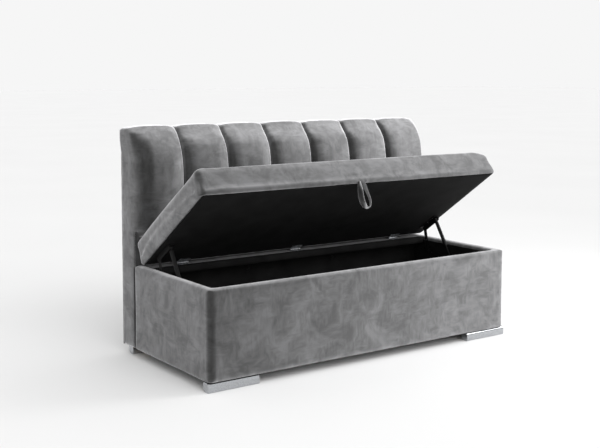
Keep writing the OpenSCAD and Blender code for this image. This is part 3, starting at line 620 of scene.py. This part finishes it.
def back_sheets():
    """Velvet stretched over the rear of the backrest, and the apron below the channels."""
    lo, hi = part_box("back_cover")
    foot, rear = lo.z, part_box("back_rear_panel")[1].y
    top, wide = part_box("back_rear_panel")[1].z - 0.018, hi.x - lo.x - 0.001
    place = ((lo.x + 0.0005, rear + 0.0014, foot), (wide, 0, 0), (0, 0, top - foot), (0, 1, 0))
    rear_sheet = cloth("back_rear_cover", *place[:3], step=0.012)
    staple(rear_sheet, *place, 0.0012, 5)
    co = points(rear_sheet)
    co[:, 1] -= 0.006 * smooth_step(abs(co[:, 0]), hi.x - 0.016, hi.x)
    put(rear_sheet, co)
    finish_cloth(rear_sheet, 0.0016, BOX_VELVET, "base",
                 ["back_cover"])
    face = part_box("back_panel")[0].y
    low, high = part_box("rail_cover")[1].z - 0.012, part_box("back_channel_4")[0].z + 0.03
    wide = hi.x - lo.x - 0.008
    place = ((lo.x + 0.004, face - 0.001, low), (wide, 0, 0), (0, 0, high - low), (0, -1, 0))
    apron = cloth("back_apron", *place[:3], step=0.012)
    staple(apron, *place, 0.0006, 6)
    finish_cloth(apron, 0.0016, BOX_VELVET, "base", [])


def base_sheet():
    """Black cloth stapled under the box, cut out round the front feet."""
    lo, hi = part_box("base_cloth")
    place = ((lo.x, lo.y, hi.z - 0.0005), (hi.x - lo.x, 0, 0), (0, hi.y - lo.y, 0), (0, 0, -1))
    obj = cloth("underside_cloth", *place[:3])
    staple(obj, *place, 0.004, 7)
    foot_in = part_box("foot_front_left")[1].x
    foot_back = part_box("foot_front_left")[1].y
    pick_faces(obj, lambda c: abs(c.x) > -foot_in - 0.01 and c.y < foot_back + 0.01)
    bpy.ops.mesh.delete(type="FACE")
    done()
    finish_cloth(obj, 0.0008, LINING, "base", ["base_cloth"])


def lid_sheet():
    """Black cloth stapled to the underside of the lid, slightly slack in the middle."""
    flat = from_frame("lid_sheet_size", "lid_cloth")
    turn(flat, SHUT)
    co = points(flat)
    lo, hi = Vector(co.min(0)), Vector(co.max(0))
    bpy.data.objects.remove(flat)
    place = ((lo.x, lo.y, lo.z + 0.0006), (hi.x - lo.x, 0, 0), (0, hi.y - lo.y, 0), (0, 0, -1))
    obj = cloth("lid_under_cloth", *place[:3])
    staple(obj, *place, 0.004, 8)
    turn(obj, SHUT.inverted())
    finish_cloth(obj, 0.0008, LINING, "lid",
                 ["lid_cloth"])


def box_sheet():
    """Black lining laid into the box and stapled to its walls, eased a little off the boards."""
    lo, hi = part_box("box_lining")
    under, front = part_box("hinge_rail")[0].z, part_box("rail_cover")[0].y
    deselect()
    bpy.ops.mesh.primitive_cube_add(size=2)
    obj = bpy.context.object
    obj.name = "box_lining_cloth"
    put(obj, (points(obj) + 1) / 2 * np.array(hi - lo) + np.array(lo))
    pick_faces(obj, lambda c: c.z > hi.z - 0.001)
    bpy.ops.mesh.delete(type="ONLY_FACE")
    bpy.ops.mesh.select_all(action="SELECT")
    bpy.ops.mesh.subdivide(number_cuts=30)
    done()
    co = points(obj)
    inward = np.zeros_like(co)
    for axis in (0, 1):
        inward[:, axis] += (co[:, axis] < lo[axis] + 0.001) * 1.0 - (co[:, axis] > hi[axis] - 0.001)
    inward[:, 2] = co[:, 2] < lo.z + 0.001
    edge = smooth_step(hi.z - co[:, 2], 0.0, 0.04)
    ease = (0.0012 + 0.0012 * noise(co, 9, 0.12)) * edge + 0.0006
    co += inward * ease[:, None]
    behind = (co[:, 1] > hi.y - 0.006) & (co[:, 2] > under)
    co[behind, 2] = under
    put(obj, co)
    edit(obj)
    bpy.ops.mesh.remove_doubles(threshold=0.0001)
    done()
    finish_cloth(obj, 0.001, LINING, "base", ["box_lining"])
    # one strip of lining goes up the front of the rail and is turned over its top
    rail_top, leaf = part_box("rail_cover")[1].z + 0.0022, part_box("hinge_base_leaf_1")[0].y
    rise, depth = rail_top - under, leaf - 0.004 - front
    strip = cloth("rail_lining_strip", (lo.x, front - 0.0014, under), (hi.x - lo.x, 0, 0),
                  (0, 0, rise + depth), step=0.01)
    co = points(strip)
    past = np.maximum(co[:, 2] - rail_top, 0)
    co[:, 1] += past
    co[:, 2] -= past
    put(strip, co)
    finish_cloth(strip, 0.001, LINING, "base", [])


# ---------- lid and strap ----------

def seat_pad():
    """The padded lid: foam over its frame under a velvet cover turned in below, with the seat
    crowned between its corners."""
    crown, fall, corner = 0.0085, 0.012, 0.034
    obj = from_frame("seat_upholstery", "seat_cover", "seat_foam", "lid_frame", "seat_board")
    turn(obj, SHUT)
    soften(obj, 0.008, 3)
    co = points(obj)
    lo, hi = co.min(0), co.max(0)
    end = np.minimum(co[:, 0] - lo[0], hi[0] - co[:, 0])
    full = (1 - (1 - np.clip(end / 0.05, 0, 1)) ** 2) * smooth_step(hi[1] - co[:, 1], 0.0, 0.16)
    upper = smooth_step(co[:, 2], lo[2] + 0.03, hi[2] - 0.01)
    right_end = smooth_step(co[:, 0], hi[0] - 0.08, hi[0])
    left_end = smooth_step(-co[:, 0], -lo[0] - 0.05, -lo[0])
    droop = (right_end + 0.3 * left_end) * (1 - smooth_step(co[:, 1] - lo[1], 0.05, 0.3))
    co[:, 2] += (crown * full - fall * droop) * upper
    left = co[co[:, 0] < 0]
    round_corners(left, lo, hi, corner)
    co[co[:, 0] < 0] = left
    # the cover is gathered a little where the strap is sewn in
    aside, above = co[:, 0] - JOINTS["strap_root"]["pos_m"][0], co[:, 2] - lo[2]
    pull = np.exp(-np.hypot(aside, above) / 0.04) * smooth_step(lo[1] + 0.03 - co[:, 1], 0.0, 0.02)
    co[:, 1] += 0.0022 * np.sin(6.5 * np.arctan2(aside, above + 0.01)) * pull + 0.0015 * pull
    put(obj, co)
    return obj


def held_seat(obj):
    co = points(obj)
    held = np.zeros(len(co))
    low = co[:, 2].min()
    held[co[:, 2] < low + 0.012] = 1.0
    return held


def finish_seat(obj):
    co = points(obj)
    low = co[:, 2].min()
    lo, hi = co.min(0), co.max(0)
    hem = 0.012
    inner = (co[:, 2] < low + 0.004) & (co[:, 0] > lo[0] + hem) & (co[:, 0] < hi[0] - hem) \
        & (co[:, 1] > lo[1] + hem) & (co[:, 1] < hi[1] - hem)
    co[inner, 2] += 0.004
    put(obj, co)
    turn(obj, SHUT.inverted())
    dress(obj, SEAT_VELVET)
    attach(obj, "lid")
    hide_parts("seat_cover", "seat_foam", "lid_frame", "seat_board")


def smooth_rows(rows, n):
    """More rows between these ones, on a smooth line through them."""
    rows = np.array(rows, float)
    padded = np.vstack([2 * rows[0] - rows[1], rows, 2 * rows[-1] - rows[-2]])
    out = []
    for t in np.linspace(0, len(rows) - 1, n):
        i = min(int(t), len(rows) - 2)
        f = t - i
        a, b, c, d = padded[i:i + 4]
        out.append(0.5 * (2 * b + (c - a) * f + (2 * a - 5 * b + 4 * c - d) * f * f
                          + (3 * b - a - 3 * c + d) * f ** 3))
    return np.array(out)


def pull_strap():
    """A velvet ribbon whose two ends are sewn side by side under the lid's edge, so that
    its loop makes half a turn. A row is its near edge, its heading, its width and its lift."""
    root = Vector(JOINTS["strap_root"]["pos_m"])
    rows = smooth_rows([
        (-31, -2, 6, 5, 15, 0), (-31, -2, -4, 0, 17, 0), (-29, 0, -16, -12, 20, 0),
        (-25.6, 3.7, -35, -34, 21, 0), (-22, 5.6, -54, -40, 22, 0), (-17, 4.5, -72, -36, 23, 0),
        (-10, 0, -88, -8, 24, 1), (-2, -5, -96.5, 20, 24, 3), (8, -8, -100, 40, 24, 5),
        (20, -9, -95.5, 52, 23, 4), (26, -10.3, -85, 64, 23, 2), (27.5, -11, -74, 72, 23, 0),
        (24.5, -11, -59, 78, 23, 0), (16.5, -12, -41, 85, 24, 0), (9.5, -12, -24, 94, 24, 0),
        (3, -12, -11, 96, 24, 0), (-2, -11, 0, 98, 23, 0), (-2, -9, 6, 120, 22, 0)], 97)
    deselect()
    bpy.ops.mesh.primitive_grid_add(x_subdivisions=96, y_subdivisions=6, size=2)
    obj = bpy.context.object
    obj.name = "strap_ribbon"
    co = points(obj)
    row = rows[np.round((co[:, 0] + 1) / 2 * 96).astype(int)]
    over = (co[:, 1] + 1) / 2
    heading = np.radians(row[:, 3])
    wide = row[:, 4] * over
    near = row[:, :3] / 1000
    step = np.stack([np.cos(heading) * wide, np.sin(heading) * wide, row[:, 5] * over], axis=1) / 1000
    bow = np.stack([np.sin(heading), -np.cos(heading), heading * 0], axis=1)
    bow *= (over * (1 - over) * 0.012)[:, None]
    put(obj, near + step + bow + np.array(root))
    apply(obj, "SOLIDIFY", thickness=0.0018, offset=0.0)
    apply(obj, "SUBSURF", levels=1, render_levels=1)
    dress(obj, RIBBON)
    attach(obj, "strap")
    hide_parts("pull_strap")


# ---------- stage ----------

def stage():
    """A plain pale paper floor, and a pale surround that is a little brighter in front."""
    bpy.ops.mesh.primitive_plane_add(size=120, location=(0, 0, 0))
    floor = bpy.context.object
    floor.name = "studio_floor"
    mat = new_material("studio_paper")
    tone = add(mat, "TexNoise", {"Vector": stretched(mat, (1, 1, 1)), "Scale": 0.7})
    c = ramp(mat, tone.outputs["Fac"], [(0.2, linear("dfdfdf")), (0.8, linear("e2e2e2"))])
    s = add(mat, "BsdfPrincipled", {"Base Color": c.outputs[0]})
    s.inputs["Roughness"].default_value = 0.9
    s.inputs["Specular IOR Level"].default_value = 0.0
    finish_material(mat, s)
    floor.data.materials.append(mat)
    world = bpy.data.worlds.new("studio")
    bpy.context.scene.world = world
    world.use_nodes = True
    world.node_tree.nodes.clear()
    path = add(world, "LightPath").outputs
    mirrored = add(world, "Math", {0: path["Is Glossy Ray"], 1: path["Is Transmission Ray"]},
                   operation="MAXIMUM")
    seen = add(world, "Math", {0: path["Is Camera Ray"], 1: mirrored.outputs[0]},
               operation="MAXIMUM")
    way = add(world, "TexCoord").outputs["Generated"]
    along = add(world, "VectorMath", {0: way, 1: Vector((0.25, -0.9, 0.0)).normalized()},
                operation="DOT_PRODUCT")
    bright = add(world, "MapRange", {"Value": along.outputs["Value"], "From Min": -1.0,
                                     "To Min": 0.66, "To Max": 1.34})
    lit = add(world, "Background", {"Color": (1, 1, 1, 1), "Strength": bright.outputs[0]})
    white = add(world, "Background", {"Color": linear("f6f6f6")})
    mix = add(world, "MixShader", {0: seen.outputs[0], 1: lit.outputs[0], 2: white.outputs[0]})
    add(world, "OutputWorld", {0: mix.outputs[0]})


def soft_light(name, at, to, size, watts):
    """A square soft box aimed at a point."""
    data = bpy.data.lights.new(name, "AREA")
    data.shape = "RECTANGLE"
    data.size, data.size_y = size
    data.energy = watts
    obj = bpy.data.objects.new(name, data)
    bpy.context.scene.collection.objects.link(obj)
    obj.location = at
    obj.rotation_euler = (Vector(to) - Vector(at)).to_track_quat("-Z", "Y").to_euler()
    obj.visible_camera = False


def sky_light(towards, strength, spread):
    """An even soft light over the whole floor, from one side of the ceiling."""
    data = bpy.data.lights.new("ceiling", "SUN")
    data.energy = strength
    data.angle = math.radians(spread)
    obj = bpy.data.objects.new("ceiling", data)
    bpy.context.scene.collection.objects.link(obj)
    obj.rotation_euler = Vector(towards).to_track_quat("-Z", "Y").to_euler()
    obj.visible_glossy = False


def lights():
    sky_light((0.15, 0.85, -0.42), 1.6, 60)
    soft_light("key", (1.9, -1.1, 1.5), (0.3, 0.1, 0.75), (1.0, 1.0), 26)


def camera():
    """Eye height in front of the left corner, looking a little down."""
    data = bpy.data.cameras.new("camera")
    data.sensor_width = 36
    data.lens = 62.62
    data.shift_y = -0.1184
    data.clip_end = 100
    obj = bpy.data.objects.new("camera", data)
    bpy.context.scene.collection.objects.link(obj)
    obj.location = (-2.4401, -3.3213, 1.0778)
    obj.rotation_euler = (math.radians(90 - 4.36), 0, math.radians(-35.23))
    bpy.context.scene.camera = obj


camera()
stage()
lights()
dress_frame()
padded_box()
rail_cover()
back_pads, jobs = backrest()
seat = seat_pad()
jobs.append((seat, held_seat(seat), 3.0, 0.005))
swell(jobs)
finish_backrest(back_pads)
back_boards()
finish_seat(seat)
back_sheets()
base_sheet()
lid_sheet()
box_sheet()
pull_strap()

scene = bpy.context.scene
scene.view_settings.view_transform = "Standard"
scene.view_settings.look = "None"
